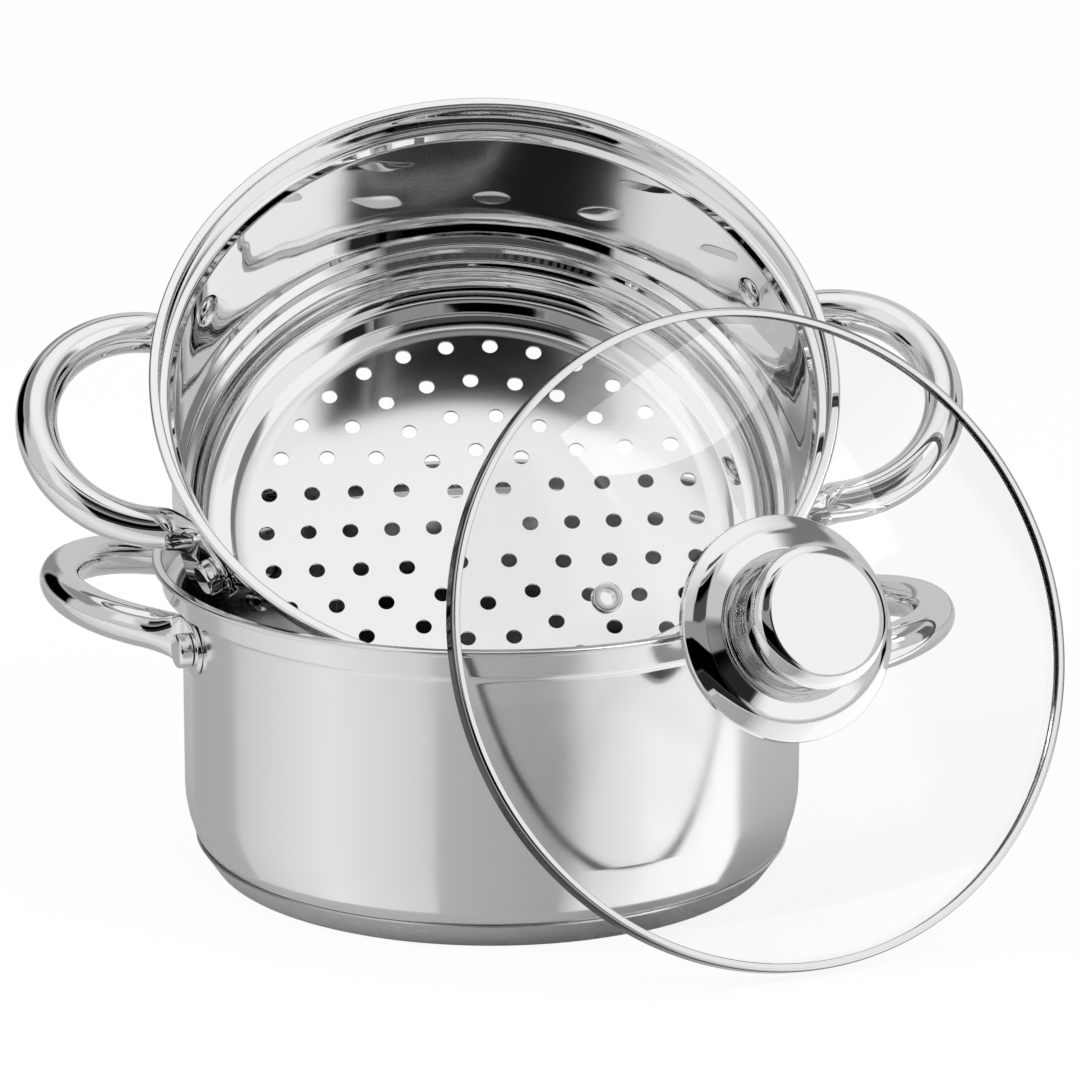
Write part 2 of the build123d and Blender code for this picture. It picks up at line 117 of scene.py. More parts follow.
steels = {                 # rough is the least and most roughness, plateZ the top of a flat plate
    "satin pot steel": {"rough": (0.11, 0.17), "around": 0.75, "grain": 0.05, "lines": (0.02, 0.02, 1)},
    "satin base steel": {"rough": (0.24, 0.32), "colour": (0.74, 0.74, 0.74, 1), "around": 0.6, "grain": 0.06,
                         "lines": (0.02, 0.02, 1)},
    "mirror steamer steel": {"rough": (0.012, 0.035), "wave": 0.6, "waveScale": 22.0, "plateZ": -95.8,
                             "plateRough": 0.13},
    "mirror handle steel": {"rough": (0.02, 0.05), "wave": 0.15, "waveScale": 30.0},
    "polished rivet steel": {"rough": (0.05, 0.10), "wave": 0.05, "waveScale": 60.0},
    "polished rim steel with painted shade": {"rough": (0.03, 0.07), "wave": 0.1},
    "polished eyelet steel": {"rough": (0.12, 0.2), "wave": 0.05},
    "mirror knob steel": {"rough": (0.012, 0.035), "wave": 0.04, "waveScale": 30.0},
    # the neck's dark grey is painted shade: a darker copy of the knob's mirror steel standing in for dark reflections
    "mirror neck steel with painted shade": {"rough": (0.012, 0.035), "colour": (0.55, 0.55, 0.55, 1), "wave": 0.04,
                          "waveScale": 30.0},
    "plain screw steel": {"rough": (0.25, 0.35), "colour": (0.6, 0.6, 0.6, 1), "wave": 0.05},
    "cast aluminium": {"rough": (0.4, 0.55), "colour": (0.75, 0.76, 0.78, 1), "wave": 0.1, "waveScale": 120.0},
}


def nodeAdder(tree):
    # returns a function that adds a node, its inputs given as values, sockets, nodes or a list to be joined
    def add(kind, inputs=None, **settings):
        node = tree.nodes.new(kind)
        for key, value in settings.items():
            setattr(node, key, value)
        for key, value in (inputs or {}).items():
            for source in value if isinstance(value, list) else [value]:
                if isinstance(source, bpy.types.Node):
                    source = source.outputs[0]
                if isinstance(source, bpy.types.NodeSocket):
                    tree.links.new(source, node.inputs[key])
                else:
                    node.inputs[key].default_value = source
        return node

    return add


def nodeTools(owner):
    # empties the node tree of a material or the world
    owner.use_nodes = True
    owner.node_tree.nodes.clear()
    return nodeAdder(owner.node_tree)


def ranged(add, value, low, high, start=0.0, end=1.0):
    # a value that goes from start to end comes out going from low to high
    return add("ShaderNodeMapRange", {"Value": value, "From Min": start, "From Max": end, "To Min": low,
                                      "To Max": high})


def noise(add, place, look, name):
    # noise whose scale, detail and roughness are in the look, under names that start alike
    given = {"Vector": place, "Scale": look[name + "Scale"], "Detail": look[name + "Detail"]}
    if name + "Rough" in look:
        given["Roughness"] = look[name + "Rough"]
    return add("ShaderNodeTexNoise", given).outputs["Fac"]


def plateCover(add, place, look, leaning):
    # 0 on the flat plate at the foot of a leaning piece, 1 above it
    level = look["plateZ"] * mm
    offset = add("ShaderNodeVectorMath", {0: place, 1: tuple(leaning.translation)}, operation="SUBTRACT")
    height = add("ShaderNodeVectorMath", {0: offset, 1: tuple(axisOf(leaning))}, operation="DOT_PRODUCT")
    return ranged(add, height.outputs["Value"], 0.0, 1.0, level, level + look["plateFade"] * mm)


def crestTone(add, look, shadedFold):
    # painted shade on a folded edge: its grey is dark where it turns away from the piece's axis, standing in for dark
    # reflections, and light on the crest
    facing = add("ShaderNodeVectorMath", {0: add("ShaderNodeTexCoord").outputs["Normal"], 1: tuple(axisOf(shadedFold))},
                 operation="DOT_PRODUCT")
    facing = add("ShaderNodeMath", {0: facing.outputs["Value"]}, operation="ABSOLUTE")
    return ranged(add, facing, *look["crestTone"], *look["crestRange"])


def steel(name, leaning=None, shadedFold=None):
    # polished sheet: soft waves, fine polish lines and faint wiping marks in the roughness
    look = {**steelLook, **steels[name]}
    material = bpy.data.materials.new(name)
    add = nodeTools(material)
    place = add("ShaderNodeTexCoord").outputs["Object"]
    waves = noise(add, place, look, "wave")
    stretched = add("ShaderNodeMapping", {"Vector": place, "Scale": look["lines"]})
    scratches = noise(add, stretched, look, "scratch")
    rough = ranged(add, noise(add, place, look, "wipe"), *look["rough"], *look["wipeRange"])
    cover = 1.0
    if leaning is not None:
        cover = plateCover(add, place, look, leaning)
        rough = add("ShaderNodeMix", {0: cover, 2: look["plateRough"], 3: rough})
    waveBump = add("ShaderNodeBump", {"Height": waves, "Strength": cover, "Distance": look["wave"] * mm})
    fineBump = add("ShaderNodeBump", {"Height": scratches, "Distance": look["grainDeep"] * mm,
                                      "Strength": look["grain"], "Normal": waveBump})
    # on a folded edge the base colour is painted shade in place of the steel's own grey
    tone = look["colour"] if shadedFold is None else crestTone(add, look, shadedFold)
    given = {"Base Color": tone, "Metallic": 1.0, "Roughness": rough, "Anisotropic": look["around"],
             "Normal": fineBump}
    if look["around"]:
        given["Tangent"] = add("ShaderNodeTangent", direction_type="RADIAL", axis="Z")
    add("ShaderNodeOutputMaterial", {"Surface": add("ShaderNodeBsdfPrincipled", given)})
    return material


glassLook = {
    "colour": (0.985, 0.99, 0.99, 1),
    "bend": 1.5,           # index of refraction
    "wipeScale": 24.0,
    "wipeDetail": 3.0,
    "wipeRange": (0.4, 0.8),
    "rough": 0.02,         # where it is wiped most
}


def clearGlass(name):
    look = glassLook
    material = bpy.data.materials.new(name)
    add = nodeTools(material)
    wiped = noise(add, add("ShaderNodeTexCoord").outputs["Object"], look, "wipe")
    shader = add("ShaderNodeBsdfPrincipled", {
        "Base Color": look["colour"], "Roughness": ranged(add, wiped, 0.0, look["rough"], *look["wipeRange"]),
        "IOR": look["bend"], "Transmission Weight": 1.0})
    add("ShaderNodeOutputMaterial", {"Surface": shader})
    return material


rubberLook = {
    "colour": (0.03, 0.03, 0.032, 1),
    "speckleScale": 700.0,
    "speckleDetail": 2.0,
    "rough": (0.5, 0.75),
    "deep": 0.1,           # of the speckle, in millimetres
    "strength": 0.3,
}


def softRubber(name):
    look = rubberLook
    material = bpy.data.materials.new(name)
    add = nodeTools(material)
    speckle = noise(add, add("ShaderNodeTexCoord").outputs["Object"], look, "speckle")
    bump = add("ShaderNodeBump", {"Height": speckle, "Distance": look["deep"] * mm, "Strength": look["strength"]})
    shader = add("ShaderNodeBsdfPrincipled", {
        "Base Color": look["colour"], "Roughness": ranged(add, speckle, *look["rough"]), "Normal": bump})
    add("ShaderNodeOutputMaterial", {"Surface": shader})
    return material


potSteel = steel("satin pot steel")
baseSteel = steel("satin base steel")
steamerSteel = steel("mirror steamer steel", leaning=steamerPlace)
handleSteel = steel("mirror handle steel")
rivetSteel = steel("polished rivet steel")
# the rim's sides get painted shade, dark where they turn away from the lid's axis
shadedRimSteel = steel("polished rim steel with painted shade", shadedFold=lidPlace)
eyeletSteel = steel("polished eyelet steel")
knobSteel = steel("mirror knob steel")
# mirror steel darkened with painted shade
shadedNeckSteel = steel("mirror neck steel with painted shade")
screwSteel = steel("plain screw steel")
coreAluminium = steel("cast aluminium")
knobRubber = softRubber("black rubber")
lidGlass = clearGlass("clear glass")
print("materials made")

# meshes turned round an axis

turning = {
    "around": 320,         # faces round a vessel
    "aroundSmall": 128,    # faces round a small piece
    "arcStep": 7.0,        # degrees of an arc for each face
    "support": 0.25,       # extra row beside each arc, in millimetres
    "sharp": 32.0,         # edges over this many degrees stay hard
    "onAxis": 1e-6,
}


def spread(start, wide, steps):
    # values at even steps, both ends with them
    return [start + wide * i / steps for i in range(steps + 1)]


def swung(spot, angle):
    # the spot turned about zero
    c, s = math.cos(angle), math.sin(angle)
    return Vector((spot.x * c - spot.y * s, spot.x * s + spot.y * c))


def softLine(points, radii):
    # the points joined by straight runs, each inner corner rounded by its radius
    spots = [Vector(p) for p in points]
    line = [spots[0]]
    for a, b, c, radius in zip(spots, spots[1:], spots[2:], radii):
        back = (a - b).normalized()
        on = (c - b).normalized()
        half = math.acos(max(-1.0, min(1.0, back.dot(on)))) / 2
        cut = radius / math.tan(half) if radius > 0 else 0
        if cut <= 0:
            line.append(b)
            continue
        centre = b + (back + on).normalized() * (radius / math.sin(half))
        start = b + back * cut - centre
        end = b + on * cut - centre
        sweep = math.pi - 2 * half
        steps = max(3, math.ceil(math.degrees(sweep) / turning["arcStep"]))
        turn = 1 if start.x * end.y - start.y * end.x > 0 else -1
        room = min((a - b).length, (c - b).length) - cut
        supported = room > turning["support"] * 2
        if supported:
            line.append(b + back * (cut + turning["support"]))
        for step in range(steps + 1):
            line.append(centre + swung(start, turn * sweep * step / steps))
        if supported:
            line.append(b + on * (cut + turning["support"]))
    line.append(spots[-1])
    return line


def shiftedLine(points, by):
    # the line moved to the left of its direction
    spots = [Vector(p) for p in points]
    sides = [Vector((a.y - b.y, b.x - a.x)).normalized() for a, b in zip(spots, spots[1:])]
    moved = [spots[0] + sides[0] * by]
    for here, s, t in zip(spots[1:-1], sides, sides[1:]):
        moved.append(here + (s + t) * (by / (1 + s.dot(t))))
    moved.append(spots[-1] + sides[-1] * by)
    return moved


def sheetRadii(points, radii, thick):
    # corner radii of the sheet's other side, which lies to the left
    spots = [Vector(p) for p in points]
    inner = []
    for a, b, c, radius in zip(spots, spots[1:], spots[2:], radii):
        left = (b - a).cross(c - b) > 0
        inner.append(max(radius + (-thick if left else thick), 0) if radius > 0 else 0)
    return inner


def turnedMesh(outline, around=turning["around"], closed=True):
    # a closed outline in the half plane (radius, height) turned round the axis
    mesh = bmesh.new()
    rings = []
    for radius, height in outline:
        if radius < turning["onAxis"]:
            rings.append([mesh.verts.new((0, 0, height))])
        else:
            rings.append([mesh.verts.new((radius * math.cos(math.tau * i / around),
                                          radius * math.sin(math.tau * i / around), height))
                          for i in range(around)])
    pairs = list(zip(rings, rings[1:]))
    if closed:
        pairs.append((rings[-1], rings[0]))
    for low, high in pairs:
        if len(low) == 1 and len(high) == 1:
            continue
        for i in range(around):
            j = (i + 1) % around
            corners = [low[i % len(low)], low[j % len(low)], high[j % len(high)], high[i % len(high)]]
            mesh.faces.new(list(dict.fromkeys(corners)))
    return mesh


def smoothData(mesh, name):
    # the mesh's data, smooth but for its hard edges
    data = bpy.data.meshes.new(name)
    mesh.to_mesh(data)
    mesh.free()
    data.shade_smooth()
    data.set_sharp_from_angle(angle=math.radians(turning["sharp"]))
    return data


def finishMesh(mesh, name, place, material, merge=0.0):
    # welds points closer than merge, sets the mesh in its place and gives it its finish
    if merge > 0:
        bmesh.ops.remove_doubles(mesh, verts=mesh.verts, dist=merge)
    bmesh.ops.recalc_face_normals(mesh, faces=mesh.faces)
    mesh.transform(place)
    data = smoothData(mesh, name)
    data.materials.append(material)
    piece = bpy.data.objects.new(name, data)
    scene.collection.objects.link(piece)
    return piece


def seat(piece, body, slot, *nodes):
    # the piece moves with a body and stands in for the nodes named
    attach(piece, body)
    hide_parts(*nodes)


# sizes in millimetres, first those that both vessels share; heights are from the vessel's own zero

vessel = {
    "sheet": 0.8,          # thickness
    "lipIn": 113.7,
    "lipOut": 117.3,
    "lipTall": 2.2,
    "lipRound": 0.9,
    "bandR": 114.6,        # the band under the lip meets it here
    "lipFoot": 0.3,
}


def vesselOutline(outerPoints, radii, lipTop):
    # outer side up to the lip, round the rolled lip, and down the inner side
    sheet = vessel["sheet"]
    low = lipTop - vessel["lipTall"]
    outer = softLine(outerPoints, radii)
    inner = softLine(shiftedLine(outerPoints, sheet)[::-1], sheetRadii(outerPoints, radii, sheet)[::-1])
    lip = softLine([(vessel["bandR"], low - vessel["lipFoot"]), (vessel["bandR"], low), (vessel["lipOut"], low),
                    (vessel["lipOut"], lipTop), (vessel["lipIn"], lipTop), (vessel["lipIn"], low)],
                   [vessel["lipFoot"], vessel["lipRound"], vessel["lipRound"], vessel["lipRound"]])
    return outer + lip + inner


potSize = {                # zero is the table
    "wallR": 107.0,
    "tall": 109.4,
    "floorZ": 6.2,
    "heelR": 101.0,
    "heelRound": 4.8,
    "flankZ": 18.2,        # where the flank would meet the wall
    "flankRound": 43.0,
    "neckZ": 97.4,         # the wall steps out here
    "neckRound": 3.0,
    "shelfR": 113.7,
    "shelfZ": 98.9,
    "shelfRound": 1.3,
}


def makePot():
    s = potSize
    points = [(0, s["floorZ"]), (s["heelR"], s["floorZ"]), (s["wallR"], s["flankZ"]), (s["wallR"], s["neckZ"]),
              (s["shelfR"], s["shelfZ"]), (vessel["bandR"], s["tall"] - vessel["lipTall"] - vessel["lipFoot"])]
    outline = vesselOutline(points, [s["heelRound"], s["flankRound"], s["neckRound"], s["shelfRound"]], s["tall"])
    piece = finishMesh(turnedMesh(outline), "potBody", potPlace, potSteel)
    seat(piece, "pot", "pot_steel", "pot_body")


baseSize = {
    "footR": 97.3,
    "topR": 103.36,
    "tall": 8.8,
    "footRound": 1.4,
    "sheet": 0.8,
}


def makeBase():
    s = baseSize
    points = [(0, 0), (s["footR"], 0), (s["topR"], s["tall"])]
    outer = softLine(points, [s["footRound"]])
    inner = softLine(shiftedLine(points, s["sheet"])[::-1], [s["footRound"] - s["sheet"]])
    piece = finishMesh(turnedMesh(outer + inner), "baseCup", potPlace, baseSteel)
    seat(piece, "pot", "base_steel", "base_capsule")


steamerSize = {            # zero is the lip's seat, and most sizes count down from it
    "deep": 96.7,
    "plateR": 80.0,        # the pierced plate ends here, flat
    "dishR": 85.0,
    "dishRound": 17.0,
    "ringInR": 89.5,
    "ringDrop": 94.4,
    "ringRound": 0.6,
    "footDrop": 94.0,
    "footR": 102.7,
    "footRound": 9.5,
    "spigotR": 103.2,
    "stepLow": 80.4,       # two small steps between foot and wall
    "stepMid": 79.1,
    "stepHigh": 75.0,
    "stepTop": 73.5,
    "stepR": 106.4,
    "stepRound": 0.9,
    "wallR": 109.7,
    "ledgeLow": 13.6,      # the ledge carries the lid
    "ledge": 10.9,
    "ledgeR": 111.3,
    "ledgeOut": 10.5,
    "ledgeOutR": 114.3,
    "ledgeRound": 1.0,
    "lipTop": 0.7,         # the lip's top lies above zero
}


def steamerLine():
    s = steamerSize
    points = [(s["plateR"], -s["deep"]), (s["dishR"], -s["deep"]), (s["ringInR"], -s["ringDrop"]),
              (s["footR"], -s["footDrop"]), (s["spigotR"], -s["stepLow"]),
              (s["stepR"], -s["stepMid"]), (s["stepR"], -s["stepHigh"]), (s["wallR"], -s["stepTop"]),
              (s["wallR"], -s["ledgeLow"]), (s["ledgeR"], -s["ledge"]), (s["ledgeOutR"], -s["ledgeOut"]),
              (vessel["bandR"], s["lipTop"] - vessel["lipTall"] - vessel["lipFoot"])]
    radii = [s["dishRound"], s["ringRound"], s["footRound"], s["stepRound"], s["stepRound"], s["stepRound"],
             s["stepRound"], s["ledgeRound"], s["ledgeRound"], s["ledgeRound"]]
    return points, radii


piercing = {
    "rings": 5,
    "first": 6,            # holes in the first ring, and more in each next
    "holeR": 2.8,
    "edge": 0.12,          # rolled edge of a punched hole
    "holeSides": 28,
    "firstRingR": 17.2,
    "ringStep": 14.8,
    "weld": 0.02,          # joins plate, edges and wall
    "level": 0.9999,       # least cosine of a face that counts as flat plate
}


def geometryTree(title, sockets):
    # an empty node tree that takes and gives geometry, with named inputs
    tree = bpy.data.node_groups.new(title, "GeometryNodeTree")
    for name, kind in (("Geometry", "Geometry"), *sockets):
        tree.interface.new_socket(name, in_out="INPUT", socket_type="NodeSocket" + kind)
    tree.interface.new_socket("Geometry", in_out="OUTPUT", socket_type="NodeSocketGeometry")
    add = nodeAdder(tree)
    return tree, add, add("NodeGroupInput").outputs


def closeTree(add, instances, material):
    # the tree gives the instances as one real mesh
    solid = add("GeometryNodeRealizeInstances", {0: instances})
    add("NodeGroupOutput", {0: add("GeometryNodeSetMaterial", {"Geometry": solid, "Material": material})})


def punchedEdge():
    # inside of one hole with its two soft edges, instanced at every hole
    high = -steamerSize["deep"] + vessel["sheet"]
    low = -steamerSize["deep"]
    r, edge = piercing["holeR"], piercing["edge"]
    outline = softLine([(r + edge, high), (r, high), (r, low), (r + edge, low)], [edge, edge])
    mesh = turnedMesh(outline, piercing["holeSides"], closed=False)
    return bpy.data.objects.new("punchedEdge", smoothData(mesh, "punchedEdge"))


def pierceTree():
    # two flat discs full of holes, one over the other, with the inside of each hole between them
    tree, add, given = geometryTree("piercedFloor", (
        ("Plate Radius", "Float"), ("Hole Radius", "Float"), ("First Ring", "Float"), ("Ring Step", "Float"),
        ("Top", "Float"), ("Underside", "Float"), ("Plate Sides", "Int"), ("Hole Sides", "Int"),
        ("Edge", "Object"), ("Material", "Material")))
    rings = []
    for row in range(piercing["rings"]):
        far = add("ShaderNodeMath", {0: given["Ring Step"], 1: row, 2: given["First Ring"]}, operation="MULTIPLY_ADD")
        rings.append(add("GeometryNodeMeshCircle", {"Radius": far, "Vertices": piercing["first"] * (row + 1)},
                         fill_type="NONE"))
    points = add("GeometryNodeMeshToPoints", {"Mesh": add("GeometryNodeJoinGeometry", {0: rings})})
    hole, rim = (add("GeometryNodeCurvePrimitiveCircle", {"Radius": given[name + " Radius"],
                                                          "Resolution": given[name + " Sides"]})
                 for name in ("Hole", "Plate"))
    holes = add("GeometryNodeInstanceOnPoints", {"Points": points, "Instance": hole})
    lines = add("GeometryNodeJoinGeometry", {0: [rim, add("GeometryNodeRealizeInstances", {0: holes})]})
    flat = add("GeometryNodeSetShadeSmooth", {0: add("GeometryNodeFillCurve", {0: lines}), "Shade Smooth": False})
    sheets = []
    for level in ("Top", "Underside"):
        height = add("ShaderNodeCombineXYZ", {"Z": given[level]})
        sheets.append(add("GeometryNodeTransform", {"Geometry": flat, "Translation": height}))
    sheets[1] = add("GeometryNodeFlipFaces", {0: sheets[1]})
    edge = add("GeometryNodeObjectInfo", {"Object": given["Edge"]})
    edges = add("GeometryNodeInstanceOnPoints", {"Points": points, "Instance": edge.outputs["Geometry"]})
    closeTree(add, add("GeometryNodeJoinGeometry", {0: [*sheets, edges]}), given["Material"])
    return tree


def grown(host, tree, values):
    # runs a node tree on the object and returns its result as a plain mesh
    modifier = host.modifiers.new(tree.name, "NODES")
    modifier.node_group = tree
    sockets = {item.name: item.identifier for item in tree.interface.items_tree
               if item.item_type == "SOCKET" and item.in_out == "INPUT"}
    for name, value in values.items():
        modifier[sockets[name]] = value
    scene.collection.objects.link(host)
    ready = host.evaluated_get(bpy.context.evaluated_depsgraph_get())
    mesh = bpy.data.meshes.new_from_object(ready)
    host.modifiers.remove(modifier)
    bpy.data.objects.remove(host)
    return mesh


def flatten(piece, place):
    # the pierced plate stays flat shaded, so that the holes don't bend its light
    axis = axisOf(place)
    back = place.inverted()
    for face in piece.data.polygons:
        middle = back @ face.center
        onPlate = math.hypot(middle.x, middle.y) < steamerSize["plateR"]
        if onPlate and abs(face.normal.dot(axis)) > piercing["level"]:
            face.use_smooth = False


def makeSteamer():
    s = steamerSize
    edge = punchedEdge()
    host = bpy.data.objects.new("piercedFloor", bpy.data.meshes.new("piercedFloorHost"))
    plate = grown(host, pierceTree(), {
        "Plate Radius": s["plateR"], "Hole Radius": piercing["holeR"] + piercing["edge"],
        "First Ring": piercing["firstRingR"], "Ring Step": piercing["ringStep"],
        "Top": -s["deep"] + vessel["sheet"], "Underside": -s["deep"],
        "Plate Sides": turning["around"], "Hole Sides": piercing["holeSides"],
        "Edge": edge, "Material": steamerSteel})
    bpy.data.objects.remove(edge)
    points, radii = steamerLine()
    mesh = turnedMesh(vesselOutline(points, radii, s["lipTop"]), closed=False)
    mesh.from_mesh(plate)
    piece = finishMesh(mesh, "steamerBody", steamerPlace, steamerSteel, merge=piercing["weld"])
    flatten(piece, steamerPlace)
    seat(piece, "steamer", "steamer_steel", "steamer_body")
    print("steamer floor pierced:", len(plate.vertices), "points")


makePot()
makeBase()
makeSteamer()
print("vessels made")

# loop handles: round tube whose ends are pressed flat and turned outward along the wall

handle = {
    "tubeR": 7.1,
    "bowR": 39.6,          # middle of the tube round the loop's end
    "bowOut": 7.0,         # the round end starts this far out from the wall
    "rise": 9.7,           # the loop rises this many degrees
    "armOut": 5.0,         # the tube starts to flatten here
    "gap": 0.1,
    "plateT": 1.8,
    "plateTall": 18.5,
    "bendReach": 5.9,
    "rivetReach": 10.0,    # along the wall from where the flat end begins
    "bowSteps": 64,
    "bendSteps": 18,
    "leafSteps": 6,
    "endSteps": 10,
    "endFrom": 2.0,        # degrees from the very tip to the first cut through it
    "sides": 64,
    "flatPower": 5.0,      # how square the pressed ends are
    "roundPower": 2.0,     # and the tube
    "squareShare": 0.5,    # of the bend, in which the squareness goes
}
handlePlaces = {           # rivets' height, and the loop's middle above them where it meets the wall
    "pot": {"rivetZ": 84.45, "loopUp": 1.5},
    "steamer": {"rivetZ": -32.5, "loopUp": 6.5},
}
walls = {"pot": (potSize["wallR"], potPlace), "steamer": (steamerSize["wallR"], steamerPlace)}


def leafStart(midR):
    # bearings from the loop's middle, here of the flat end and next of its rivet
    return math.asin(handle["bowR"] / midR) + handle["bendReach"] / midR


def rivetAngle(wallR):
    midR = wallR + handle["gap"] + handle["plateT"] / 2
    return leafStart(midR) + handle["rivetReach"] / midR


def handleSections(wallR, loopUp, rivetZ):
    h = handle
    rise = math.tan(math.radians(h["rise"]))
    armX, bowX = wallR + h["armOut"], wallR + h["bowOut"]
    midR = wallR + h["gap"] + h["plateT"] / 2
    thin, tall, tube = h["plateT"] / 2, h["plateTall"] / 2, h["tubeR"]

    def at(x, y):
        return Vector((x, y, rivetZ + loopUp + (x - wallR) * rise))

    def onWall(angle):
        return (Vector((midR * math.cos(angle), midR * math.sin(angle), rivetZ)),
                Vector((math.sin(angle), -math.cos(angle), 0)))

    leafFrom = leafStart(midR)
    rivetFrom = rivetAngle(wallR)
    sections = []          # each a place, direction, half thickness, half height and squareness
    for step in range(h["endSteps"]):
        far = math.cos(math.radians(h["endFrom"] + (90 - h["endFrom"]) * step / h["endSteps"]))
        spot, way = onWall(rivetFrom + tall * far / midR)
        sections.append((spot, way, thin, tall * math.sqrt(1 - far * far), h["flatPower"]))
    for step in range(h["leafSteps"] + 1):
        spot, way = onWall(rivetFrom + (leafFrom - rivetFrom) * step / h["leafSteps"])
        sections.append((spot, way, thin, tall, h["flatPower"]))
    goal = onWall(leafFrom)[0]
    ease = (goal.y - h["bowR"]) / math.cos(leafFrom)
    bend = Vector((goal.x + ease * math.sin(leafFrom), h["bowR"], rivetZ))
    start = at(armX, h["bowR"])
    for step in range(1, h["bendSteps"] + 1):
        t = step / h["bendSteps"]
        spot = goal * (1 - t) ** 2 + bend * (2 * t * (1 - t)) + start * t ** 2
        way = (bend - goal) * (1 - t) + (start - bend) * t
        fuller = t * t * (3 - 2 * t)
        power = h["flatPower"] + (h["roundPower"] - h["flatPower"]) * min(1, t / h["squareShare"])
        sections.append((spot, way.normalized(), thin + (tube - thin) * fuller, tall + (tube - tall) * fuller,
                         power))
    slope = Vector((1, 0, rise)).normalized()
    for step in range(h["bowSteps"] // 2 + 1):
        angle = math.radians(90 * (1 - 2 * step / h["bowSteps"]))
        flatX = h["bowR"] * math.cos(angle) * math.cos(math.radians(h["rise"]))
        spot = at(bowX + flatX, h["bowR"] * math.sin(angle))
        way = slope * math.sin(angle) + Vector((0, -1, 0)) * math.cos(angle)
        sections.append((spot, way, tube, tube, h["roundPower"]))
    mirrored = []
    for spot, way, thick, high, power in reversed(sections[:-1]):
        mirrored.append((Vector((spot.x, -spot.y, spot.z)), Vector((-way.x, way.y, -way.z)), thick, high, power))
    return sections + mirrored


def makeHandle(body, side, turn):
    wallR, place = walls[body]
    seatZ = handlePlaces[body]
    mesh = bmesh.new()
    rings = []
    for spot, way, thick, high, power in handleSections(wallR, seatZ["loopUp"], seatZ["rivetZ"]):
        flank = Vector((0, 0, 1)).cross(way).normalized()
        up = way.cross(flank).normalized()
        ring = []
        for i in range(handle["sides"]):
            angle = math.tau * i / handle["sides"]
            c, s = math.cos(angle), math.sin(angle)
            x = math.copysign(abs(c) ** (2 / power), c) * thick
            y = math.copysign(abs(s) ** (2 / power), s) * high
            ring.append(mesh.verts.new(spot + flank * x + up * y))
        rings.append(ring)
    for a, b in zip(rings, rings[1:]):
        for i in range(handle["sides"]):
            j = (i + 1) % handle["sides"]
            mesh.faces.new((a[i], a[j], b[j], b[i]))
    mesh.faces.new(rings[0])
    mesh.faces.new(rings[-1])
    piece = finishMesh(mesh, body + "Handle_" + side, place @ Matrix.Rotation(turn, 4, "Z"), handleSteel)
    seat(piece, body, "handle_steel", body + "_handle_" + side)


for side, turn in (("right", 0.0), ("left", math.pi)):
    for body in walls:
        makeHandle(body, side, turn)
print("handles made")

# rivets: one shape set four times on each vessel by a node tree

rivet = {
    "shankR": 2.4,
    "drumR": 6.0,
    "drumTall": 4.9,
    "drumRound": 1.3,
    "drumFootRound": 0.4,
    "domeR": 6.0,
    "domeTall": 2.6,
    "domeStep": 9,         # degrees
    "sides": 48,
    "gap": 0.1,
}


def rivetShape():
    r = rivet
    grip = vessel["sheet"] + handle["plateT"] + 3 * r["gap"]    # wall and flat end, with three gaps
    dome = [(r["domeR"] * math.sin(math.radians(a)), -r["domeTall"] * math.cos(math.radians(a)))
            for a in range(0, 90, r["domeStep"])]
    rest = softLine([(r["domeR"], 0), (r["shankR"], 0), (r["shankR"], grip), (r["drumR"], grip),
                     (r["drumR"], grip + r["drumTall"]), (0, grip + r["drumTall"])],
                    [0, 0, r["drumFootRound"], r["drumRound"]])
    mesh = turnedMesh(dome + rest, r["sides"], closed=False)
    bmesh.ops.recalc_face_normals(mesh, faces=mesh.faces)
    return bpy.data.objects.new("rivet", smoothData(mesh, "rivet"))


def rivetTree():
    # a rivet on each point, aimed level outward from the vessel's axis
    tree, add, given = geometryTree("rivetRow", (("Rivet", "Object"), ("Material", "Material")))
    points = add("GeometryNodeMeshToPoints", {"Mesh": given["Geometry"]})
    level = add("ShaderNodeVectorMath", {0: add("GeometryNodeInputPosition"), 1: (1, 1, 0)}, operation="MULTIPLY")
    aim = add("FunctionNodeAlignEulerToVector", {"Vector": level}, axis="Z")
    shape = add("GeometryNodeObjectInfo", {"Object": given["Rivet"]})
    row = add("GeometryNodeInstanceOnPoints", {"Points": points, "Instance": shape.outputs["Geometry"],
                                               "Rotation": aim})
    closeTree(add, row, given["Material"])
    return tree


def makeRivets(body):
    wallR, place = walls[body]
    name = body + "Rivets"
    inside = wallR - vessel["sheet"] - rivet["gap"]
    at = rivetAngle(wallR)
    spots = [(inside * math.cos(a), inside * math.sin(a), handlePlaces[body]["rivetZ"])
             for a in (at, math.pi - at, math.pi + at, -at)]
    data = bpy.data.meshes.new(name + "Spots")
    data.from_pydata(spots, [], [])
    shape = rivetShape()
    mesh = grown(bpy.data.objects.new(name + "Host", data), rivetRow, {"Rivet": shape, "Material": rivetSteel})
    bpy.data.objects.remove(shape)
    mesh.transform(place)
    mesh.name = name
    piece = bpy.data.objects.new(name, mesh)
    scene.collection.objects.link(piece)
    seat(piece, body, "rivet_steel", *[body + "_rivet_" + corner for corner in
                                       ("right_rear", "left_rear", "left_front", "right_front")])


rivetRow = rivetTree()
for body in walls:
    makeRivets(body)
print("rivets set")

# lid

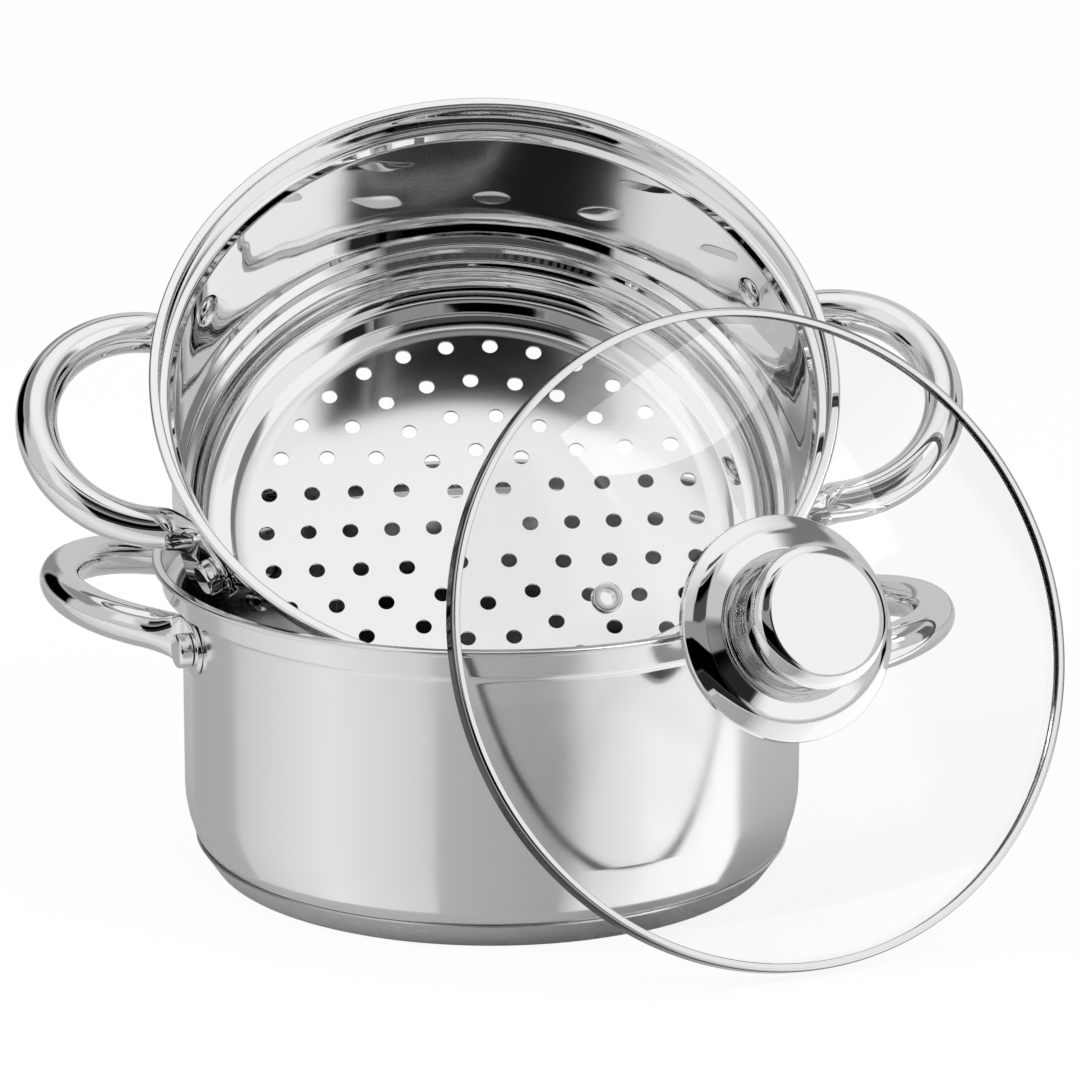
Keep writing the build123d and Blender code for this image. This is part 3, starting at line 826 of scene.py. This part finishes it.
lid = {                    # zero is the middle of the rim's height
    "r": 111.9,
    "rimT": 0.7,
    "rimTop": 3.2,
    "rimLow": -3.2,
    "rimIn": 109.0,        # the rim folds this far in over the glass
    "rimRound": 1.3,
    "rimEdgeRound": 0.35,
    "rimFoldRound": 0.1,
    "glassR": 110.9,
    "glassT": 4.0,
    "edgeZ": 1.6,          # top of the glass at its edge
    "peakZ": 19.3,         # and in the middle, were it whole
    "boreR": 4.2,
    "ventAt": 61.9,
    "ventHoleR": 2.65,
    "ventTubeR": 3.1,
    "ventBoreR": 3.3,      # of the hole through the glass
    "ventFlangeR": 4.9,
    "ventFlangeT": 0.8,
    "ventRounds": (0.2, 0.6, 0.4, 0.4, 0.4, 0.2, 0),    # corners from the upper flange's underside inward
    "drillTall": 20,
    "drillSides": 64,
    "gap": 0.1,
    "domeSteps": 60,
}
swell = lid["peakZ"] - lid["edgeZ"]
sphereR = (lid["glassR"] ** 2 + swell ** 2) / (2 * swell)


def glassZ(r):
    # height of the glass's top at a radius
    return lid["peakZ"] - sphereR + math.sqrt(sphereR ** 2 - r ** 2)


def makeGlass():
    s = lid
    radii = spread(s["boreR"], s["glassR"] - s["boreR"], s["domeSteps"])
    outline = [(r, glassZ(r) - s["glassT"]) for r in radii] + [(r, glassZ(r)) for r in reversed(radii)]
    piece = finishMesh(turnedMesh(outline), "lidGlass", lidPlace, lidGlass)
    far, r = s["drillTall"], s["ventBoreR"]
    drill = turnedMesh([(0, -far), (r, -far), (r, far), (0, far)], s["drillSides"], closed=False)
    cutter = finishMesh(drill, "ventDrill", lidPlace @ ventPlace(), lidGlass)
    cut = piece.modifiers.new("vent", "BOOLEAN")
    cut.object = cutter
    cut.operation = "DIFFERENCE"
    cut.solver = "EXACT"
    ready = piece.evaluated_get(bpy.context.evaluated_depsgraph_get())
    mesh = bpy.data.meshes.new_from_object(ready)
    piece.modifiers.remove(cut)
    piece.data = mesh
    bpy.data.objects.remove(cutter)
    seat(piece, "lid", "lid_glass", "lid_glass")
    piece.visible_shadow = False


def ventPlace():
    # square to the glass, where the vent goes through
    lean = math.asin(lid["ventAt"] / sphereR)
    return Matrix.Translation((lid["ventAt"], 0, glassZ(lid["ventAt"]))) @ Matrix.Rotation(lean, 4, "Y")


def makeRim():
    s = lid
    t = s["rimT"]
    outline = softLine([(s["rimIn"], s["rimTop"] - t), (s["r"] - t, s["rimTop"] - t), (s["r"] - t, s["rimLow"] + t),
                        (s["rimIn"], s["rimLow"] + t), (s["rimIn"], s["rimLow"]), (s["r"], s["rimLow"]),
                        (s["r"], s["rimTop"]), (s["rimIn"], s["rimTop"]), (s["rimIn"], s["rimTop"] - t)],
                       [0, 0, s["rimFoldRound"], s["rimFoldRound"], s["rimRound"], s["rimRound"],
                        s["rimEdgeRound"]])[:-1]
    piece = finishMesh(turnedMesh(outline), "lidRim", lidPlace, shadedRimSteel)
    seat(piece, "lid", "rim_steel", "lid_rim")


def makeVent():
    s = lid
    top = s["gap"] + s["ventFlangeT"]
    foot = -s["glassT"] - s["gap"]
    low = foot - s["ventFlangeT"]
    outline = softLine([(s["ventTubeR"], s["gap"]), (s["ventFlangeR"], s["gap"]), (s["ventFlangeR"], top),
                        (s["ventHoleR"], top), (s["ventHoleR"], low), (s["ventFlangeR"], low),
                        (s["ventFlangeR"], foot), (s["ventTubeR"], foot), (s["ventTubeR"], s["gap"])],
                       s["ventRounds"])[:-1]
    piece = finishMesh(turnedMesh(outline, turning["aroundSmall"]), "ventEyelet", lidPlace @ ventPlace(), eyeletSteel)
    seat(piece, "lid", "rim_steel", "vent_eyelet")


makeGlass()
makeRim()
makeVent()
print("lid made")

knob = {                   # heights are above the glass or above the plate's flat middle
    "around": 256,
    "plateR": 38.0,
    "plateEdge": 2.6,
    "plateRound": 1.1,
    "crestIn": 4.6,        # the plate's top bulges here
    "crestUp": 3.1,
    "crestRound": 12.0,
    "hubUp": 6.3,
    "hubWider": 0.5,       # the flat middle ends this far outside the collar
    "hubRound": 0.8,
    "underSteps": 16,
    "padIn": 2.5,
    "padWide": 7.5,
    "padT": 1.0,
    "padSteps": 8,
    "boreR": 3.0,
    "collarBigR": 25.6,
    "collarBigTall": 2.0,
    "collarSmallR": 23.4,
    "collarSmallTall": 1.2,
    "collarRounds": (0.3, 0.6, 0.25, 0.4),
    "waistFootR": 22.0,
    "waistR": 15.2,
    "waistUp": 8.0,
    "waistSteps": 28,
    "neckTopR": 19.0,
    "neckTopUp": 14.8,
    "capR": 24.3,
    "capTopR": 18.4,
    "capLowUp": 0.6,
    "capWideUp": 5.2,
    "capTopUp": 10.0,
    "capFrom": -72.0,      # degrees round the cap's side, from its low edge to the flat top at 90
    "capSteps": 24,
    "capFootRound": 0.3,
}
plateFoot = knob["padT"] + lid["gap"]                  # above the glass
hubZ = lid["peakZ"] + knob["hubUp"]
neckTopZ = hubZ + knob["neckTopUp"]


def arcThrough(a, b, c, steps):
    # points of the arc from a through b to c
    a, b, c = Vector(a), Vector(b), Vector(c)
    d = 2 * (a.x * (b.y - c.y) + b.x * (c.y - a.y) + c.x * (a.y - b.y))
    ux = (a.length_squared * (b.y - c.y) + b.length_squared * (c.y - a.y) + c.length_squared * (a.y - b.y)) / d
    uy = (a.length_squared * (c.x - b.x) + b.length_squared * (a.x - c.x) + c.length_squared * (b.x - a.x)) / d
    centre = Vector((ux, uy))
    start = a - centre
    sweep = -start.angle_signed(c - centre)
    return [centre + swung(start, angle) for angle in spread(0, sweep, steps)]


def makePlate():
    k = knob
    under = [(r, glassZ(r) + plateFoot) for r in spread(k["boreR"], k["plateR"] - k["boreR"], k["underSteps"])]
    edge = glassZ(k["plateR"]) + plateFoot
    rise = edge + k["plateEdge"]
    top = softLine([(k["plateR"], edge), (k["plateR"], rise), (k["plateR"] - k["crestIn"], rise + k["crestUp"]),
                    (k["collarBigR"] + k["hubWider"], hubZ), (k["boreR"], hubZ)],
                   [k["plateRound"], k["crestRound"], k["hubRound"]])
    piece = finishMesh(turnedMesh(under[:-1] + top, k["around"]), "knobPlate", lidPlace, knobSteel)
    seat(piece, "lid", "knob_steel", "knob_plate")


def makeNeck():
    # two collars and a waist that widens again below the cap
    k = knob
    low = hubZ + lid["gap"]
    one = low + k["collarBigTall"]
    two = one + k["collarSmallTall"]
    waist = arcThrough((k["waistFootR"], two), (k["waistR"], hubZ + k["waistUp"]), (k["neckTopR"], neckTopZ),
                       k["waistSteps"])
    collars = softLine([(0, low), (k["collarBigR"], low), (k["collarBigR"], one), (k["collarSmallR"], one),
                        (k["collarSmallR"], two), tuple(waist[0])], k["collarRounds"])
    mesh = turnedMesh(collars + waist[1:] + [Vector((0, neckTopZ))], k["around"], closed=False)
    seat(finishMesh(mesh, "knobNeck", lidPlace, shadedNeckSteel), "lid", "knob_steel", "knob_neck")


def makeCap():
    k = knob
    foot = neckTopZ + lid["gap"]
    low, wide, top = (neckTopZ + k[level] for level in ("capLowUp", "capWideUp", "capTopUp"))
    reach = k["capR"] - k["capTopR"]
    lowest = math.sin(math.radians(-k["capFrom"]))
    side = []
    for turn in spread(k["capFrom"], 90 - k["capFrom"], k["capSteps"]):
        angle = math.radians(turn)
        height = wide + math.sin(angle) * (top - wide if angle > 0 else (wide - low) / lowest)
        side.append(Vector((k["capTopR"] + reach * math.cos(angle), height)))
    under = softLine([(0, foot), (k["neckTopR"], foot), tuple(side[0])], [k["capFootRound"]])
    mesh = turnedMesh(under + side[1:] + [Vector((0, top))], k["around"], closed=False)
    seat(finishMesh(mesh, "knobCap", lidPlace, knobSteel), "lid", "knob_steel", "knob_cap")


def makePad():
    # the rubber follows the glass
    k = knob
    radii = spread(k["plateR"] - k["padIn"] - k["padWide"], k["padWide"], k["padSteps"])
    outline = [(r, glassZ(r) + lid["gap"]) for r in radii] + [(r, glassZ(r) + k["padT"]) for r in reversed(radii)]
    piece = finishMesh(turnedMesh(outline, turning["aroundSmall"]), "knobPad", lidPlace, knobRubber)
    seat(piece, "lid", "knob_rubber", "knob_pad")


makePlate()
makeNeck()
makeCap()
makePad()
print("knob made")

# nodes kept as they are get their finish here
kept = {"base_core": coreAluminium, "knob_washer": screwSteel, "knob_screw": screwSteel}
for node, material in kept.items():
    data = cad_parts[node].data
    data.materials.clear()
    data.materials.append(material)

# studio

studio = {                 # in metres and degrees; a grey is how bright the thing is, 1 being white
    "floorSize": 8.0,
    "floorWhite": 0.86,
    "mottle": 0.01,        # the floor's grey is uneven by this much
    "mottleScale": 3.0,
    "mottleDetail": 2.0,
    "floorSeen": 0.62,     # share of the floor's light in reflections
    "seenWhite": 0.92,     # share of plain white that the camera sees in the floor
    "worldWhite": 1.0,     # what the camera sees
    "worldFill": 0.75,     # what lights matt surfaces
    "worldLow": 0.60,      # what polished surfaces see level with them
    "worldHigh": 0.95,     # and overhead
    "worldEdge": (0.77, 0.96),    # where the one turns into the other, as the sine of the height
    "viewFrom": -79.0,     # bearing of the camera
    "cardR": 1.3,
    "cardSteps": 24,
    "floorCardZ": 0.0006,
    "floorReach": (0.005, 0.75),
    "floorCards": [        # from and to bearing on the pot's wall that mirrors the card, its greys there
        (-152.9, -133.7, 0.42, 0.44),
        (-133.7, -110.0, 0.62, 0.84),
        (-110.0, -89.3, 0.84, 0.66),
        (-89.3, -66.0, 0.47, 0.38),
        (-66.0, -61.0, 0.42, 0.80),
        (-61.0, -50.0, 0.80, 1.02),
        (-50.0, -27.0, 1.06, 1.12),
    ],
    "cards": [             # name, from and to bearing, low and high edge, grey, soft edge in degrees
        ("gapLow", -104.0, -50.0, 0.0, 0.26, 0.02, 2.0),
        ("gapDark", -104.0, -51.0, 0.23, 0.68, 0.0, 0.7),
        ("gapMiddle", -103.0, -52.0, 0.68, 0.95, 0.30, 0.7),
        ("gapSide", -55.0, -43.0, 0.30, 0.92, 0.02, 2.0),
        ("gapHigh", -96.0, -54.0, 0.95, 1.38, 0.07, 2.0),
        ("gapTop", -94.0, -54.0, 1.32, 1.86, 0.0, 1.5),
        ("gapCrown", -92.0, -56.0, 1.90, 2.15, 0.16, 3.0),
        ("gapZenith", -90.0, -53.0, 2.62, 3.30, 0.08, 3.0),
        ("key", -43.0, -14.0, 0.15, 2.30, 0.97, 2.0),
        ("keyLeft", -128.0, -107.0, 0.50, 2.60, 0.85, 3.0),
        ("leftDark", 140.0, 188.0, 0.12, 0.92, 0.0, 3.0),
        ("leftGrey", 118.0, 140.0, 0.0, 0.90, 0.26, 4.0),
        ("leftHigh", 150.0, 206.0, 1.00, 2.30, 0.28, 5.0),
        ("right", 10.0, 25.0, 0.0, 0.85, 0.0, 1.5),
        ("rearHigh", 95.0, 150.0, 1.75, 2.30, 0.16, 3.0),
        ("rightHigh", -14.0, 55.0, 1.10, 1.85, 0.20, 4.0),
    ],
}


def plainView(add):
    # rays from the camera, straight or through glass, and rays that come off polished surfaces
    path = add("ShaderNodeLightPath").outputs
    mirrored = add("ShaderNodeMath", {0: path["Glossy Depth"], 1: 1.0}, operation="MINIMUM")
    seen = add("ShaderNodeMath", {0: path["Is Camera Ray"], 1: path["Is Transmission Ray"]}, operation="MAXIMUM")
    straight = add("ShaderNodeMath", {0: seen, 1: mirrored}, operation="SUBTRACT", use_clamp=True)
    return straight, mirrored


def cardGrey():
    # glows in its own grey, only where polished surfaces mirror it, and fades out at its edges
    material = bpy.data.materials.new("card grey")
    add = nodeTools(material)
    grey, cover = (add("ShaderNodeAttribute", attribute_name=title).outputs["Fac"] for title in ("grey", "cover"))
    share = add("ShaderNodeMath", {0: plainView(add)[1], 1: cover}, operation="MULTIPLY")
    glow = add("ShaderNodeEmission", {"Strength": grey})
    mix = add("ShaderNodeMixShader", {0: share, 1: add("ShaderNodeBsdfTransparent"), 2: glow})
    add("ShaderNodeOutputMaterial", {"Surface": mix})
    return material


def makeCard(name, rows, material):
    # rows of places, each a spot, its grey and how much it covers what lies behind
    wide = len(rows[0])
    points = [point for row in rows for point in row]
    faces = [(i * wide + j, (i + 1) * wide + j, (i + 1) * wide + j + 1, i * wide + j + 1)
             for i in range(len(rows) - 1) for j in range(wide - 1)]
    data = bpy.data.meshes.new(name + "Card")
    data.from_pydata([point[0] for point in points], [], faces)
    for number, title in ((1, "grey"), (2, "cover")):
        values = data.attributes.new(title, "FLOAT", "POINT")
        for i, point in enumerate(points):
            values.data[i].value = point[number]
    data.materials.append(material)
    piece = bpy.data.objects.new(name + "Card", data)
    piece.visible_camera = False
    piece.visible_diffuse = False
    piece.visible_shadow = False
    scene.collection.objects.link(piece)


def makeFloorCards(material):
    # cards lying where the pot's wall mirrors the floor to the camera
    s = studio
    near, far = s["floorReach"]
    wall = potSize["wallR"] * mm
    for number, (start, end, first, last) in enumerate(s["floorCards"]):
        rows = []
        for i in range(s["cardSteps"] + 1):
            share = i / s["cardSteps"]
            bearing = math.radians(start + (end - start) * share)
            way = 2 * bearing - math.radians(s["viewFrom"])
            rows.append([((wall * math.cos(bearing) + length * math.cos(way),
                           wall * math.sin(bearing) + length * math.sin(way), s["floorCardZ"]),
                          first + (last - first) * share, 1.0) for length in (near, far)])
        makeCard("floor" + str(number), rows, material)


def makeWallCards(material):
    # cards standing round the object, out of the camera's sight
    s = studio
    for name, start, end, low, high, grey, soft in s["cards"]:
        rise = soft * math.radians(1) * s["cardR"]
        levels = [(max(low - rise, s["floorCardZ"]), 0.0), (low + rise, 1.0), (high - rise, 1.0), (high + rise, 0.0)]
        if low <= 0:
            levels = [(s["floorCardZ"], 1.0)] + levels[2:]
        inner = spread(start + soft, end - start - 2 * soft, s["cardSteps"])
        rows = []
        for bearing, cover in [(start - soft, 0.0)] + [(b, 1.0) for b in inner] + [(end + soft, 0.0)]:
            x, y = (s["cardR"] * part(math.radians(bearing)) for part in (math.cos, math.sin))
            rows.append([((x, y, z), grey, cover * edge) for z, edge in levels])
        makeCard(name, rows, material)


def makeFloor():
    s = studio
    material = bpy.data.materials.new("pale floor")
    add = nodeTools(material)
    mottle = noise(add, add("ShaderNodeTexCoord").outputs["Object"], s, "mottle")
    shade = ranged(add, mottle, s["floorWhite"] - s["mottle"], s["floorWhite"] + s["mottle"])
    straight, mirrored = plainView(add)
    tone = add("ShaderNodeMath", {0: shade, 1: ranged(add, mirrored, 1.0, s["floorSeen"])}, operation="MULTIPLY")
    plain = add("ShaderNodeBsdfDiffuse", {"Color": tone})
    bright = add("ShaderNodeEmission", {"Color": (1, 1, 1, 1), "Strength": 1.0})
    share = add("ShaderNodeMath", {0: straight, 1: s["seenWhite"]}, operation="MULTIPLY")
    mix = add("ShaderNodeMixShader", {0: share, 1: plain, 2: bright})
    add("ShaderNodeOutputMaterial", {"Surface": mix})
    half = s["floorSize"] / 2
    data = bpy.data.meshes.new("floor")
    data.from_pydata([(-half, -half, 0), (half, -half, 0), (half, half, 0), (-half, half, 0)], [], [(0, 1, 2, 3)])
    data.materials.append(material)
    floor = bpy.data.objects.new("floor", data)
    scene.collection.objects.link(floor)


def makeWorld():
    s = studio
    world = bpy.data.worlds.new("studio")
    scene.world = world
    add = nodeTools(world)
    aim = add("ShaderNodeSeparateXYZ", {"Vector": add("ShaderNodeTexCoord").outputs["Generated"]})
    polish = ranged(add, aim.outputs["Z"], s["worldLow"], s["worldHigh"], *s["worldEdge"])
    straight, mirrored = plainView(add)
    plain = ranged(add, straight, s["worldFill"], s["worldWhite"])
    mix = add("ShaderNodeMix", {0: mirrored, 2: plain, 3: polish})
    back = add("ShaderNodeBackground", {"Color": (1, 1, 1, 1), "Strength": mix})
    add("ShaderNodeOutputWorld", {"Surface": back})


lamps = {                  # in metres and watts
    "left": {"at": (-1.1, -0.7, 1.3), "size": 1.0, "power": 14.0},
    "right": {"at": (1.3, -0.5, 1.4), "size": 1.0, "power": 12.0},
}
lampAim = (0, 0, 0.1)


def makeLamps():
    for name, s in lamps.items():
        data = bpy.data.lights.new(name + "Lamp", "AREA")
        data.shape = "SQUARE"
        data.size = s["size"]
        data.energy = s["power"]
        lamp = bpy.data.objects.new(name + "Lamp", data)
        lamp.location = s["at"]
        lamp.rotation_euler = (Vector(lampAim) - Vector(s["at"])).to_track_quat("-Z", "Y").to_euler()
        lamp.visible_glossy = False
        scene.collection.objects.link(lamp)


makeFloor()
cardMaterial = cardGrey()
makeFloorCards(cardMaterial)
makeWallCards(cardMaterial)
makeWorld()
makeLamps()
scene.view_settings.view_transform = "Standard"
print("studio made")
